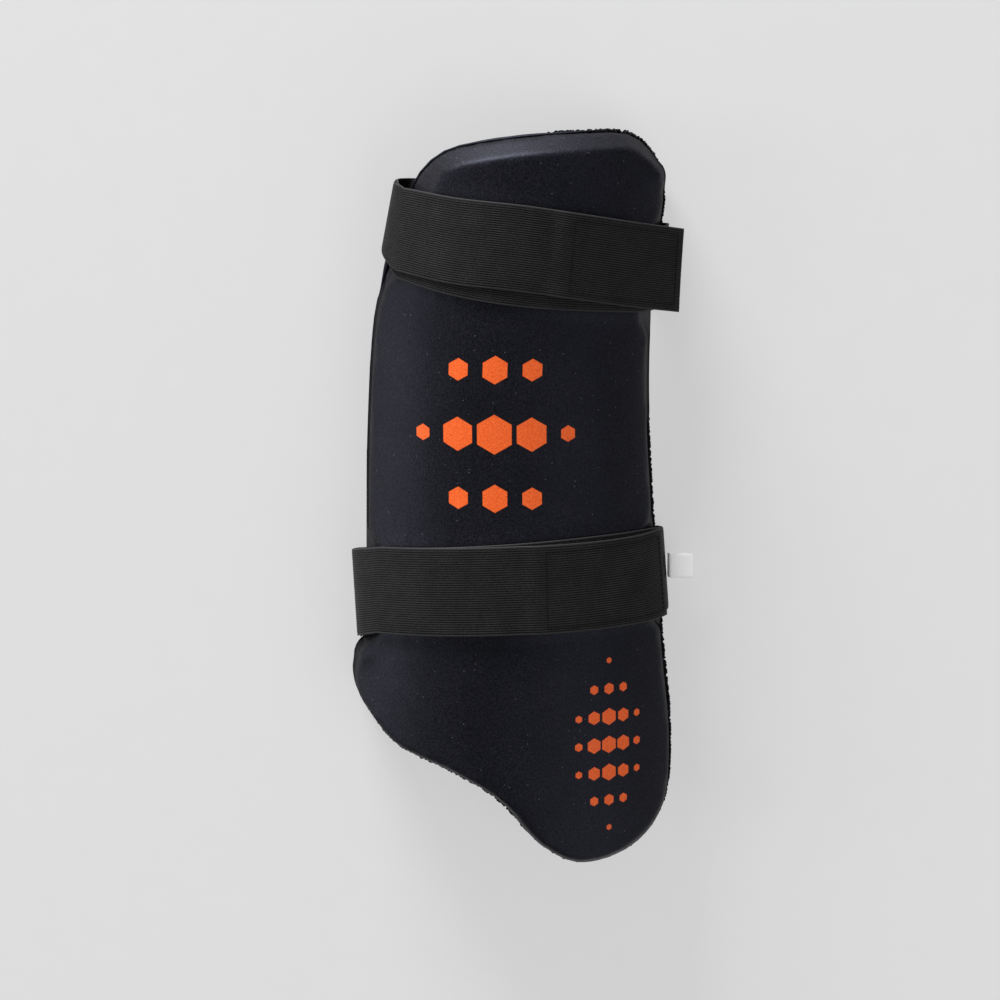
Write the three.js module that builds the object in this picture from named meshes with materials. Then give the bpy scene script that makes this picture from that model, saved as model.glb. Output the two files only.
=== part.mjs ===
// Cricket thigh pad, lying on its back with its front up, in millimetres.
// +Z points out of the pad's front, +Y to its hip end and +X to the right of someone who faces the front.
import * as THREE from "three";

const { degToRad, lerp, radToDeg, smoothstep } = THREE.MathUtils;

// Clearances and cloth thicknesses.
const GAP = 0.3;
const STRAP_GAP = 0.5;
const LINING_THICKNESS = 3;
const STRAP_THICKNESS = 1.2;
const PATCH_THICKNESS = 1.2;

// The rim seen from the front: the line where the cover and the lining are sewn together.
// It starts at the tail's tip and goes up the right side.
const RIM = [
  { x: 36, y: -5 },
  { x: 66, y: 1.5 },
  { x: 82, y: 20 },
  { x: 85.5, y: 58 },
  { x: 81, y: 108 },
  { x: 75, y: 180 },
  { x: 71.5, y: 250 },
  { x: 74, y: 305 },
  { x: 79.5, y: 345 },
  { x: 75, y: 363 },
  { x: 61, y: 376.5 },
  { x: 36, y: 378 },
  { x: -10, y: 374 },
  { x: -35, y: 367.5 },
  { x: -49, y: 354 },
  { x: -58.5, y: 325 },
  { x: -64, y: 309 },
  { x: -70.5, y: 285 },
  { x: -75, y: 225 },
  { x: -76, y: 160 },
  { x: -76.5, y: 117 },
  { x: -77.5, y: 110 },
  { x: -82.6, y: 102.5 },
  { x: -84.4, y: 94 },
  { x: -82.6, y: 83 },
  { x: -78, y: 75 },
  { x: -62, y: 57 },
  { x: -31, y: 44 },
  { x: -7.5, y: 30.5 },
  { x: 15.5, y: 6 },
];
const RIM_POINTS = 112;
const RIM_WIDTH = 2;

// Cross-sections of the moulded shell: the sides that its arc runs down to, and its foam at the crown.
const SECTIONS = [
  { y: -10, left: -88, right: 88, foam: 17 },
  { y: 100, left: -84, right: 83, foam: 20 },
  { y: 180, left: -77.5, right: 76.5, foam: 20 },
  { y: 265, left: -74, right: 73.5, foam: 20 },
  { y: 380, left: -62, right: 82, foam: 17 },
];
const SIDE_ANGLE = degToRad(48);
const SIDE_HEIGHT = 5;
const EDGE_THICKNESS = 6;
const SIDE_CHAMFER = 7;
const HIP_CHAMFER = 11;
const HIP_CHAMFER_FROM = 335;
const HIP_CHAMFER_TO = 362;
const COLUMNS = 12;

// Straps. A turn is the angle that the webbing's outside faces, in degrees clockwise from straight up.
// Each lane row gives the middle of the under and the top layer at that turn, and the share of its width that
// the webbing keeps there: it narrows where it is stretched round a side.
// A reach is where the webbing's outside turns back at a side, along its lower and its upper edge.
// The free end drops by endDrop along its length, and its cut edge leans by endSkew across its width.
const SHOULDER_TURN = 38;
const FOOT_RADIUS = 3;
const ROOT_TURN = 14;
const PATCH_RAMP_TURN = 6;
const PATCH_MARGIN = 2;
const STRAP_ROWS = 3;
const UPPER = {
  width: 43,
  lanes: [
    { turn: -90, under: 335.6, top: 334.4, span: 0.805 },
    { turn: -38, under: 324.4, top: 328.4, span: 0.975 },
    { turn: -20, under: 318, top: 323.9, span: 1 },
    { turn: 0, under: 312.8, top: 320.5, span: 1 },
    { turn: 38, under: 307.5, top: 310, span: 1 },
  ],
  reach: { left: { low: -67.8, high: -59.5 }, right: { low: 78.5, high: 82 } },
  patchTurn: 14,
  endTurn: 36,
  freeLength: 29.8,
  endDrop: 0.145,
  endSkew: -0.035,
};
const LOWER = {
  width: 46,
  lanes: [
    { turn: -90, under: 134.6, top: 135, span: 0.955 },
    { turn: -20, under: 144.2, top: 144.2, span: 1 },
    { turn: 0, under: 147.1, top: 146.2, span: 1 },
    { turn: 25, under: 149.6, top: 147.6, span: 1 },
    { turn: 60, under: 149.5, top: 149, span: 1 },
    { turn: 90, under: 147.6, top: 147.6, span: 0.92 },
  ],
  reach: { left: { low: -81.2, high: -84.6 }, right: { low: 83.7, high: 80.3 } },
  patchTurn: 8.5,
  endTurn: 62,
  freeLength: 0,
  endDrop: 0,
  endSkew: -0.02,
};
const UNDER_OFFSET = STRAP_GAP + STRAP_THICKNESS / 2;
const TOP_OFFSET = UNDER_OFFSET + STRAP_THICKNESS + GAP;
const PATCH_LIFT = PATCH_THICKNESS + GAP;

// Label, sewn to the outside of the lower strap at its right turn.
const LABEL = { width: 13, reach: 13, base: 7, bend: 1.6, thickness: 1, top: 13.5, y: 149.5 };

const cover = new THREE.MeshStandardMaterial({ color: "#1d1e25", roughness: 0.85, metalness: 0 });
const terry = new THREE.MeshStandardMaterial({ color: "#0c0c0e", roughness: 1, metalness: 0 });
const elastic = new THREE.MeshStandardMaterial({ color: "#232324", roughness: 0.8, metalness: 0 });
const hookTape = new THREE.MeshStandardMaterial({ color: "#141415", roughness: 0.6, metalness: 0 });
const satin = new THREE.MeshStandardMaterial({ color: "#ececee", roughness: 0.6, metalness: 0 });

// Smooth values between the rows of a table, looked up by one of its columns.
function smoothTable(rows, key) {
  const columns = Object.keys(rows[0]).filter((name) => name !== key);
  const places = Float64Array.from(rows, (row) => row[key]);
  const values = Float64Array.from(rows.flatMap((row) => columns.map((name) => row[name])));
  const curve = new THREE.CubicInterpolant(places, values, columns.length);
  return (place) => {
    const found = curve.evaluate(place);
    return Object.fromEntries(columns.map((name, i) => [name, found[i]]));
  };
}

const sectionRow = smoothTable(SECTIONS, "y");

// The shell's arc at one height: its middle, its radius, and where the arc's centre lies below the side.
function section(y) {
  const { left, right, foam } = sectionRow(y);
  const radius = (right - left) / 2 / Math.sin(SIDE_ANGLE);
  const centre = SIDE_HEIGHT - radius * Math.cos(SIDE_ANGLE);
  return { middle: (left + right) / 2, half: (right - left) / 2, radius, centre, foam };
}

function backHeight(x, y) {
  const { middle, half, radius, centre } = section(y);
  const across = Math.min(Math.abs(x - middle), half);
  return centre + Math.sqrt(radius * radius - across * across);
}

function frontHeight(x, y) {
  return backHeight(x, y) + section(y).foam;
}

function solidMesh(name, points, faces, material) {
  const geometry = new THREE.BufferGeometry().setFromPoints(points);
  geometry.setIndex(faces.flat());
  geometry.computeVertexNormals();
  const mesh = new THREE.Mesh(geometry, material);
  mesh.name = name;
  return mesh;
}

function quad(a, b, c, d) {
  return [[a, b, c], [a, c, d]];
}

// A closed body from rings of points, each ring above the one before it.
// Lines across, from a ring's right half to its left half, fill the first ring below and the last one above.
function ringBody(name, rings, underHeight, topHeight, material) {
  const count = rings[0].length;
  const half = count / 2;
  const points = rings.flat();
  const faces = [];

  function fill(ring, height, upward) {
    const firstInside = points.length;
    for (let row = 1; row < half; row += 1) {
      const right = points[ring * count + row];
      const left = points[ring * count + count - row];
      for (let column = 1; column < COLUMNS; column += 1) {
        const point = right.clone().lerp(left, column / COLUMNS);
        point.z = height(point.x, point.y);
        points.push(point);
      }
    }
    function index(row, column) {
      const onRim = row === 0 || row === half || column === 0 || column === COLUMNS;
      if (!onRim) return firstInside + (row - 1) * (COLUMNS - 1) + column - 1;
      const place = column === COLUMNS ? (count - row) % count : row;
      return ring * count + place;
    }
    for (let row = 0; row < half; row += 1) {
      for (let column = 0; column < COLUMNS; column += 1) {
        const corners = [
          index(row, column),
          index(row + 1, column),
          index(row + 1, column + 1),
          index(row, column + 1),
        ];
        const whole = quad(...corners).filter((face) => new Set(face).size === 3);
        faces.push(...whole.map((face) => (upward ? face : face.reverse())));
      }
    }
  }

  for (let ring = 0; ring + 1 < rings.length; ring += 1) {
    for (let i = 0; i < count; i += 1) {
      const next = (i + 1) % count;
      const low = ring * count;
      const high = low + count;
      faces.push(...quad(low + i, low + next, high + next, high + i));
    }
  }
  fill(0, underHeight, false);
  fill(rings.length - 1, topHeight, true);
  return solidMesh(name, points, faces, material);
}

// The rim as evenly spaced points, with the direction that leads inwards at each.
const rimCurve = new THREE.CatmullRomCurve3(
  RIM.map(({ x, y }) => new THREE.Vector3(x, y, 0)),
  true,
  "centripetal",
);
const rim = rimCurve.getSpacedPoints(RIM_POINTS).slice(0, RIM_POINTS);
const inwards = rim.map((point, i) => {
  const before = rim[(i + RIM_POINTS - 1) % RIM_POINTS];
  const after = rim[(i + 1) % RIM_POINTS];
  const along = after.clone().sub(before).normalize();
  return new THREE.Vector3(-along.y, along.x, 0);
});

// The rim moved inwards by a distance that may depend on y, at a height that depends on x and y.
function rimRing(distance, height) {
  return rim.map((point, i) => {
    const moved = point.clone().addScaledVector(inwards[i], distance(point.y));
    moved.z = height(moved.x, moved.y);
    return moved;
  });
}

function leftRim(y) {
  const near = rim.filter((point) => point.x < 0 && Math.abs(point.y - y) < 20);
  const above = near.filter((point) => point.y >= y).sort((a, b) => a.y - b.y)[0];
  const below = near.filter((point) => point.y < y).sort((a, b) => b.y - a.y)[0];
  return lerp(below.x, above.x, (y - below.y) / (above.y - below.y));
}

// Moulded foam in its tight cover: a short upright edge, then a chamfer that is widest at the hip end.
function chamfer(y) {
  const hipShare = smoothstep(y, HIP_CHAMFER_FROM, HIP_CHAMFER_TO);
  return RIM_WIDTH + lerp(SIDE_CHAMFER, HIP_CHAMFER, hipShare);
}

const padBody = ringBody(
  "pad_body",
  [
    rimRing(() => RIM_WIDTH, backHeight),
    rimRing(() => RIM_WIDTH, (x, y) => backHeight(x, y) + EDGE_THICKNESS),
    rimRing(chamfer, frontHeight),
  ],
  backHeight,
  frontHeight,
  cover,
);

// Terry back panel, a little wider than the body, so that its edge shows past it.
function liningTop(x, y) {
  return backHeight(x, y) - GAP;
}

function liningUnder(x, y) {
  return liningTop(x, y) - LINING_THICKNESS;
}

const backLining = ringBody(
  "back_lining",
  [rimRing(() => 0, liningUnder), rimRing(() => 0, liningTop), rimRing(() => RIM_WIDTH, liningTop)],
  liningUnder,
  liningTop,
  terry,
);

// The arcs that a strap's inside follows round the pad, at one height and one share of the strap's width.
// A point of an arc is its centre plus its radius along the way that the webbing's outside faces.
// The root's radius is negative, because there the webbing lies inside the shell's hollow.
function strapArcs(strap, y, share) {
  const { middle, radius, centre, foam } = section(y);
  const { left, right } = strap.reach;
  const leftEdge = lerp(left.low, left.high, share) + TOP_OFFSET + STRAP_THICKNESS / 2;
  const rightEdge = lerp(right.low, right.high, share) - UNDER_OFFSET - STRAP_THICKNESS / 2;
  const front = { x: middle, z: centre + foam, radius };
  const root = { x: middle, z: centre - GAP - LINING_THICKNESS, radius: -radius };
  const rimX = leftRim(y);
  const rimAngle = Math.asin((middle - rimX) / radius);
  const tuckRadius = (rimX - leftEdge) / (1 + Math.sin(rimAngle));
  const tuckHeight = root.z + (radius + tuckRadius) * Math.cos(rimAngle);

  function shoulder(side, edge) {
    const turn = degToRad(SHOULDER_TURN);
    const start = middle + side * radius * Math.sin(turn);
    const bend = (side * (edge - start)) / (1 - Math.sin(turn));
    return { x: edge - side * bend, z: front.z + (radius - bend) * Math.cos(turn), radius: bend };
  }

  function foot(side, edge, offset) {
    const height = FOOT_RADIUS + offset + STRAP_THICKNESS / 2;
    return { x: edge - side * FOOT_RADIUS, z: height, radius: FOOT_RADIUS };
  }

  return {
    root,
    tuck: { x: leftEdge + tuckRadius, z: tuckHeight, radius: tuckRadius },
    leftShoulder: shoulder(-1, leftEdge),
    front,
    rightShoulder: shoulder(1, rightEdge),
    rightFoot: foot(1, rightEdge, UNDER_OFFSET),
    leftFoot: foot(-1, leftEdge, TOP_OFFSET),
    rimTurn: -180 - radToDeg(rimAngle),
  };
}

// The lane of one layer: the middle of the webbing and the share of its width, at a turn.
function laneOf(strap, layer) {
  const row = smoothTable(strap.lanes, "turn");
  return (turn) => ({ y: row(turn)[layer], span: row(turn).span });
}

// Stations along one arc. A turn may be a function of the strap's arcs.
function sweep(arc, steps, turnAt, offset, lane) {
  return Array.from({ length: steps + 1 }, (_, i) => {
    const turn = turnAt(i / steps);
    return { arc, turn, offset: offset(turn), ...lane(turn), slide: 0, skew: 0 };
  });
}

// The way over the front to the free end, which stands straight off the pad or lies round its shoulder.
function endStations(strap, fromTurn, steps, offset, shortBy) {
  const topLane = laneOf(strap, "top");
  const frontTo = Math.min(strap.endTurn, SHOULDER_TURN);
  const stations = sweep("front", steps, (t) => lerp(fromTurn, frontTo, t), offset, topLane);
  if (strap.endTurn > SHOULDER_TURN) {
    const overShoulder = (t) => lerp(SHOULDER_TURN, strap.endTurn, t);
    stations.push(...sweep("rightShoulder", 4, overShoulder, offset, topLane).slice(1));
    stations[stations.length - 1].slide = -shortBy;
  } else {
    const last = stations[stations.length - 1];
    const slide = strap.freeLength - shortBy;
    stations.push({ ...last, slide, y: last.y - slide * strap.endDrop });
  }
  stations[stations.length - 1].skew = strap.endSkew;
  return stations;
}

function topOffset(strap) {
  return (turn) => {
    const lift = smoothstep(turn, strap.patchTurn - PATCH_RAMP_TURN, strap.patchTurn - 1);
    return TOP_OFFSET + PATCH_LIFT * lift;
  };
}

// A whole strap: sewn root in the hollow, round the left edge, under layer, back run, top layer, end.
function strapStations(strap) {
  const under = () => UNDER_OFFSET;
  const top = topOffset(strap);
  const underLane = laneOf(strap, "under");
  const topLane = laneOf(strap, "top");
  const rootLane = () => underLane(-90);
  const between = (from, to) => (t) => lerp(from, to, t);
  return [
    ...sweep("root", 3, (t) => (arcs) => arcs.rimTurn + lerp(ROOT_TURN, 0, t), under, rootLane),
    ...sweep("tuck", 6, (t) => (arcs) => lerp(arcs.rimTurn, -90, t), under, rootLane).slice(1),
    ...sweep("leftShoulder", 6, between(-90, -SHOULDER_TURN), under, underLane),
    ...sweep("front", 14, between(-SHOULDER_TURN, SHOULDER_TURN), under, underLane).slice(1),
    ...sweep("rightShoulder", 6, between(SHOULDER_TURN, 90), under, underLane).slice(1),
    ...sweep("rightFoot", 4, between(90, 180), under, underLane),
    ...sweep("leftFoot", 4, between(-180, -90), top, topLane),
    ...sweep("leftShoulder", 6, between(-90, -SHOULDER_TURN), top, topLane),
    ...endStations(strap, -SHOULDER_TURN, 18, top, 0).slice(1),
  ];
}

// The hook patch lies under the strap's end, between its two layers.
function patchStations(strap) {
  const drop = (STRAP_THICKNESS + PATCH_THICKNESS) / 2 + GAP;
  const offset = (turn) => topOffset(strap)(turn) - drop;
  return endStations(strap, strap.patchTurn, 6, offset, PATCH_MARGIN);
}

// A band of webbing through its stations, with rows of points across its width on both faces.
function bandBody(name, strap, stations, width, thickness, material) {
  const rows = STRAP_ROWS + 1;
  const points = [];
  for (const station of stations) {
    for (const face of [-1, 1]) {
      for (let row = 0; row < rows; row += 1) {
        const across = (row / STRAP_ROWS - 0.5) * width * station.span;
        const y = station.y + across;
        const arcs = strapArcs(strap, y, across / strap.width + 0.5);
        const arc = arcs[station.arc];
        const turn = degToRad(typeof station.turn === "function" ? station.turn(arcs) : station.turn);
        const out = arc.radius + station.offset + (face * thickness) / 2;
        const slide = station.slide + across * station.skew;
        const x = arc.x + out * Math.sin(turn) + slide * Math.cos(turn);
        const z = arc.z + out * Math.cos(turn) - slide * Math.sin(turn);
        points.push(new THREE.Vector3(x, y, z));
      }
    }
  }
  const inside = (station, row) => station * 2 * rows + row;
  const outside = (station, row) => inside(station, row) + rows;
  const last = stations.length - 1;
  const faces = [];
  for (let row = 0; row < STRAP_ROWS; row += 1) {
    faces.push(...quad(inside(0, row), outside(0, row), outside(0, row + 1), inside(0, row + 1)));
    faces.push(...quad(inside(last, row), inside(last, row + 1), outside(last, row + 1), outside(last, row)));
    for (let i = 0; i < last; i += 1) {
      faces.push(...quad(outside(i, row), outside(i + 1, row), outside(i + 1, row + 1), outside(i, row + 1)));
      faces.push(...quad(inside(i, row), inside(i, row + 1), inside(i + 1, row + 1), inside(i + 1, row)));
    }
  }
  for (let i = 0; i < last; i += 1) {
    faces.push(...quad(inside(i, 0), inside(i + 1, 0), outside(i + 1, 0), outside(i, 0)));
    const top = STRAP_ROWS;
    faces.push(...quad(inside(i, top), outside(i, top), outside(i + 1, top), inside(i + 1, top)));
  }
  return solidMesh(name, points, faces, material);
}

function strapPieces(strap, strapName, patchName) {
  const patchWidth = strap.width - 2 * PATCH_MARGIN;
  return [
    bandBody(strapName, strap, strapStations(strap), strap.width, STRAP_THICKNESS, elastic),
    bandBody(patchName, strap, patchStations(strap), patchWidth, PATCH_THICKNESS, hookTape),
  ];
}

// Folded label: a short base against the strap's outside, bent over to a tab that points outwards.
function labelMesh() {
  const { right } = LOWER.reach;
  const { base, bend, reach, thickness, top, width } = LABEL;
  const lowest = (LABEL.y - width / 2 - laneOf(LOWER, "under")(90).y) / LOWER.width + 0.5;
  const inner = lerp(right.low, right.high, lowest) + GAP;
  const bendX = inner + thickness + bend;
  const bendZ = top - thickness - bend;
  const profile = new THREE.Shape();
  profile.moveTo(inner, top - base);
  profile.lineTo(inner + thickness, top - base);
  profile.absarc(bendX, bendZ, bend, Math.PI, Math.PI / 2, true);
  profile.lineTo(inner + reach, top - thickness);
  profile.lineTo(inner + reach, top);
  profile.absarc(bendX, bendZ, bend + thickness, Math.PI / 2, Math.PI, false);
  const extrusion = { depth: width, bevelEnabled: false, curveSegments: 6 };
  const geometry = new THREE.ExtrudeGeometry(profile, extrusion);
  geometry.rotateX(Math.PI / 2);
  geometry.translate(0, LABEL.y + width / 2, 0);
  const mesh = new THREE.Mesh(geometry, satin);
  mesh.name = "size_label";
  return mesh;
}

const group = new THREE.Group();
group.add(padBody, backLining);
group.add(...strapPieces(UPPER, "upper_strap", "upper_hook_patch"));
group.add(...strapPieces(LOWER, "lower_strap", "lower_hook_patch"));
group.add(labelMesh());

// The frame's origin is under the middle of everything, on the surface that the pad lies on.
const box = new THREE.Box3().setFromObject(group);
const middle = box.getCenter(new THREE.Vector3());
group.children.forEach((mesh) => mesh.geometry.translate(-middle.x, -middle.y, -box.min.z));

export default group;
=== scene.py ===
import math

import bmesh
import bpy
import numpy as np
from mathutils import Matrix, Vector
from mathutils.bvhtree import BVHTree
from mathutils.kdtree import KDTree


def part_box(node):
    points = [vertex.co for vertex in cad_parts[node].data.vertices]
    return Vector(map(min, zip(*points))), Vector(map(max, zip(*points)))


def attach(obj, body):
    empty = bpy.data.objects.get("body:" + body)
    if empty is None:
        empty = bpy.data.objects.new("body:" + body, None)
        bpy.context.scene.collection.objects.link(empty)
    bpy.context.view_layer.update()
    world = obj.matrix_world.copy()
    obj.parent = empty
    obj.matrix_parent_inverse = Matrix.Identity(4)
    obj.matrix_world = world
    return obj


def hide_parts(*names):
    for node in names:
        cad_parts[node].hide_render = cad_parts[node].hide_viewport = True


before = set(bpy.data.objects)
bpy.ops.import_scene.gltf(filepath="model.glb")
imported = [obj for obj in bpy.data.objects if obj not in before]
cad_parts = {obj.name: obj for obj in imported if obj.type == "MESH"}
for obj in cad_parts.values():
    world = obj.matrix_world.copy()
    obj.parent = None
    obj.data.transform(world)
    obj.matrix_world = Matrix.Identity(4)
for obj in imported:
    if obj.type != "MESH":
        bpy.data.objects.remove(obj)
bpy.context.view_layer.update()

# Foam guard.
# Closed-cell foam, pressed to the curve of a thigh with a chamfered edge, in a tight cover of stretch knit.
# The cover is sewn to the back panel along the rim, and the foam swells a little between the straps.
MM = 0.001
BODY = "root"
PAD_VOXEL = 2.2 * MM
PAD_SHRINK = 0.6 * MM
PAD_SWELL = 2.6 * MM
PAD_PRESSURE = 4
PAD_FRAMES = 20
PAD_QUALITY = 4
PAD_SMOOTHING = 2
UPRIGHT = 0.1
FACES_UP = 0.3
WALL_TOP = 3
STRAP_HOLD = (2 * MM, 6 * MM)
EDGE_HOLD = (0.8 * MM, 4 * MM)
EDGE_SPREAD = 2.4
TERRY_SPREAD = 1.1
CHAMFER_CUT = (7, 11)
HIP_RANGE = (335, 362)
SIDE_CHAMFER = 1.6
HIP_CHAMFER = 8.5
TAIL_CHAMFER = 5
SIDE_ANGLE = math.radians(48)
SIDE_HEIGHT = 5
HEM_RIGHT = 54
HEM_LOW = 284
HEM_SPREAD = 0.9
LIP_SPREAD = 0.2
LIP_RANGE = (288, 314)
CURVE_SPREAD = 0.2
CURVE_RANGE = (70, 95)
CURVE_RIGHT = 0
HIP_COVERED = 22
LEFT_COVERED = (-40, 76)
RIGHT_COVERED = (60, 226, 288)

# The tables are in millimetres from a point beside the tail's tip, as in the solids.
# The label's lowest corner shows where that point lies in the frame.
LABEL_CORNER = (82.64, 143)
label_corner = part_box("size_label")[0]
plan_origin = Vector((label_corner.x - LABEL_CORNER[0] * MM, label_corner.y - LABEL_CORNER[1] * MM, 0))

# Cross-sections of the shell: height up the pad, left and right side, foam at the crown.
SHELL_ROWS = [
    (-10, -88, 88, 17),
    (100, -84, 83, 20),
    (180, -77.5, 76.5, 20),
    (265, -74, 73.5, 20),
    (380, -62, 82, 17),
]


def in_frame(x, y, z):
    """The frame's point for a point of the tables."""
    return Vector((x, y, z)) * MM + plan_origin


def in_plan(point):
    """The tables' point, in millimetres, for a point of the frame."""
    return (point - plan_origin) / MM


def smooth_table(rows):
    """A function that gives smooth values between the rows of a table, by its first column."""
    table = np.array(rows, float)
    places = table[:, 0]
    values = table[:, 1:]
    steps = np.diff(places)
    rises = np.diff(values, axis=0) / steps[:, None]
    slopes = np.concatenate([rises[:1], (rises[1:] + rises[:-1]) / 2, rises[-1:]])

    def value_at(place):
        inside = min(max(place, places[0]), places[-1])
        i = min(max(int(np.searchsorted(places, inside)) - 1, 0), len(steps) - 1)
        t = (inside - places[i]) / steps[i]
        from_low = (1 + 2 * t) * (1 - t) ** 2 * values[i] + t * (1 - t) ** 2 * steps[i] * slopes[i]
        from_high = t * t * (3 - 2 * t) * values[i + 1] + t * t * (t - 1) * steps[i] * slopes[i + 1]
        return from_low + from_high

    return value_at


shell_row = smooth_table(SHELL_ROWS)


def shell_section(y):
    """The shell's arc at one height: its middle, its radius, its centre's height and the foam's thickness."""
    left, right, foam = shell_row(y)
    radius = (right - left) / 2 / math.sin(SIDE_ANGLE)
    return (left + right) / 2, radius, SIDE_HEIGHT - radius * math.cos(SIDE_ANGLE), foam


def back_height(x, y):
    """How high the shell's back lies above the floor."""
    middle, radius, centre, _ = shell_section(y)
    across = min(abs(x - middle), radius * math.sin(SIDE_ANGLE))
    return centre + math.sqrt(radius * radius - across * across)


def merged_copy(node):
    """A copy of a solid with its loose triangles joined."""
    solid = bmesh.new()
    solid.from_mesh(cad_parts[node].data)
    bmesh.ops.remove_doubles(solid, verts=solid.verts, dist=0.01 * MM)
    solid.normal_update()
    return solid


def new_piece(name, solid):
    """A smooth-shaded object from a bmesh."""
    mesh = bpy.data.meshes.new(name)
    solid.to_mesh(mesh)
    solid.free()
    mesh.shade_smooth()
    piece = bpy.data.objects.new(name, mesh)
    bpy.context.scene.collection.objects.link(piece)
    return piece


def finish_piece(piece, material, slot, *nodes):
    """Give a piece its material, hang it from the body's empty, and hide the solids that it stands for. Its
    slot is not used.
    """
    piece.data.materials.clear()
    piece.data.materials.append(material)
    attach(piece, BODY)
    if nodes:
        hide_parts(*nodes)


def lerp(start, end, share):
    return start + (end - start) * share


def smoothstep(low, high, value):
    share = min(max((value - low) / (high - low), 0), 1)
    return share * share * (3 - 2 * share)


def point_array(mesh):
    """A mesh's vertices as rows of an array."""
    flat = np.empty(len(mesh.vertices) * 3)
    mesh.vertices.foreach_get("co", flat)
    return flat.reshape(-1, 3)


strap_walls = [BVHTree.FromBMesh(merged_copy(node)) for node in ("upper_strap", "lower_strap")]


def strap_distance(point):
    """How far a point is from the nearer strap."""
    return min(wall.find_nearest(point)[3] for wall in strap_walls)


def is_hemmed(plan):
    """Where the cover's hem lies on the rim: at the hip end's left, and down to below the upper strap."""
    return plan.x < HEM_RIGHT and plan.y > HEM_LOW


def shows_terry(plan):
    """Where the back panel's loops stand out past the cover, and aren't under its edge."""
    hip = plan.x < HIP_COVERED and plan.y > HEM_LOW
    left = plan.x < LEFT_COVERED[0] and plan.y > LEFT_COVERED[1]
    right = plan.x > RIGHT_COVERED[0] and RIGHT_COVERED[1] < plan.y < RIGHT_COVERED[2]
    return not (hip or left or right)


def edge_spread(plan):
    """How far the cover's edge moves out towards the rim: least beside the lip and along the S-curve."""
    if plan.x < LEFT_COVERED[0] and plan.y < HIP_RANGE[0]:
        above_curve = lerp(CURVE_SPREAD, EDGE_SPREAD, smoothstep(*CURVE_RANGE, plan.y))
        return lerp(above_curve, LIP_SPREAD, smoothstep(*LIP_RANGE, plan.y))
    if plan.x < CURVE_RIGHT and plan.y < CURVE_RANGE[0]:
        return CURVE_SPREAD
    if is_hemmed(plan):
        return HEM_SPREAD
    return TERRY_SPREAD if shows_terry(plan) else EDGE_SPREAD


def crest_spread(out, y):
    """How far the chamfer's crest moves out from the solid's, for a narrower chamfer on the sides."""
    cut = lerp(*CHAMFER_CUT, smoothstep(*HIP_RANGE, y))
    end = HIP_CHAMFER if out.y > 0 else TAIL_CHAMFER
    return cut + TERRY_SPREAD - SIDE_CHAMFER * out.x * out.x - end * out.y * out.y


def is_wall(face):
    """Whether a face of a solid stands upright, as the walls along its outline do."""
    return abs(face.normal.z) < UPRIGHT


def wall_directions(solid):
    """The way out at each vertex of a solid's upright walls."""
    directions = {}
    for face in solid.faces:
        if is_wall(face):
            for vert in face.verts:
                directions[vert] = directions.get(vert, Vector()) + face.normal
    for out in directions.values():
        out.normalize()
    return directions


def spread(vert, out, distance, hold):
    """Move a vertex sideways, less where a strap holds it, and down with the shell's slope."""
    before = in_plan(vert.co)
    after = before + out * distance * smoothstep(*hold, strap_distance(vert.co))
    after.z += back_height(after.x, after.y) - back_height(before.x, before.y)
    vert.co = in_frame(*after)


# The cover's edge spreads out towards the rim, and the chamfer is steep down both sides.
pad_solid = merged_copy("pad_body")
side_out = wall_directions(pad_solid)
crest_out = {}
for vert, out in side_out.items():
    plan = in_plan(vert.co)
    if plan.z - back_height(plan.x, plan.y) > WALL_TOP:
        for edge in vert.link_edges:
            crest = edge.other_vert(vert)
            if crest not in side_out:
                crest_out[crest] = crest_out.get(crest, Vector()) + out
for vert, out in crest_out.items():
    out.normalize()
    spread(vert, out, crest_spread(out, in_plan(vert.co).y), STRAP_HOLD)
for vert, out in side_out.items():
    spread(vert, out, edge_spread(in_plan(vert.co)), EDGE_HOLD)

pad = new_piece("pad_cover", pad_solid)
remesh = pad.modifiers.new("even_mesh", "REMESH")
remesh.mode = "VOXEL"
remesh.voxel_size = PAD_VOXEL
even_mesh = bpy.data.meshes.new_from_object(pad.evaluated_get(bpy.context.evaluated_depsgraph_get()))
pad.modifiers.clear()
pad.data = even_mesh

# The back and the rim are sewn down, and the straps hold what they cross.
held = pad.vertex_groups.new(name="held")
for vert in pad.data.vertices:
    hold = 1 - smoothstep(*STRAP_HOLD, strap_distance(vert.co)) if vert.normal.z > FACES_UP else 1
    held.add([vert.index], hold, "REPLACE")
    vert.co -= vert.normal * PAD_SHRINK * (1 - hold)

swell = pad.modifiers.new("swell", "CLOTH")
swell.settings.quality = PAD_QUALITY
swell.settings.use_pressure = True
swell.settings.uniform_pressure_force = PAD_PRESSURE
swell.settings.vertex_group_mass = held.name
swell.settings.effector_weights.gravity = 0
for frame_number in range(1, PAD_FRAMES + 1):
    bpy.context.scene.frame_set(frame_number)
swollen = pad.evaluated_get(bpy.context.evaluated_depsgraph_get())
start = point_array(pad.data)
moves = point_array(swollen.data) - start
lengths = np.linalg.norm(moves, axis=1, keepdims=True)
moves *= np.minimum(1, PAD_SWELL / np.maximum(lengths, 1e-9))
pad.modifiers.clear()
pad.data.vertices.foreach_set("co", (start + moves).ravel())
bpy.context.scene.frame_set(1)

relaxed = bmesh.new()
relaxed.from_mesh(pad.data)
for _ in range(PAD_SMOOTHING):
    bmesh.ops.smooth_vert(
        relaxed, verts=relaxed.verts, factor=0.5, use_axis_x=True, use_axis_y=True, use_axis_z=True
    )

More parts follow.
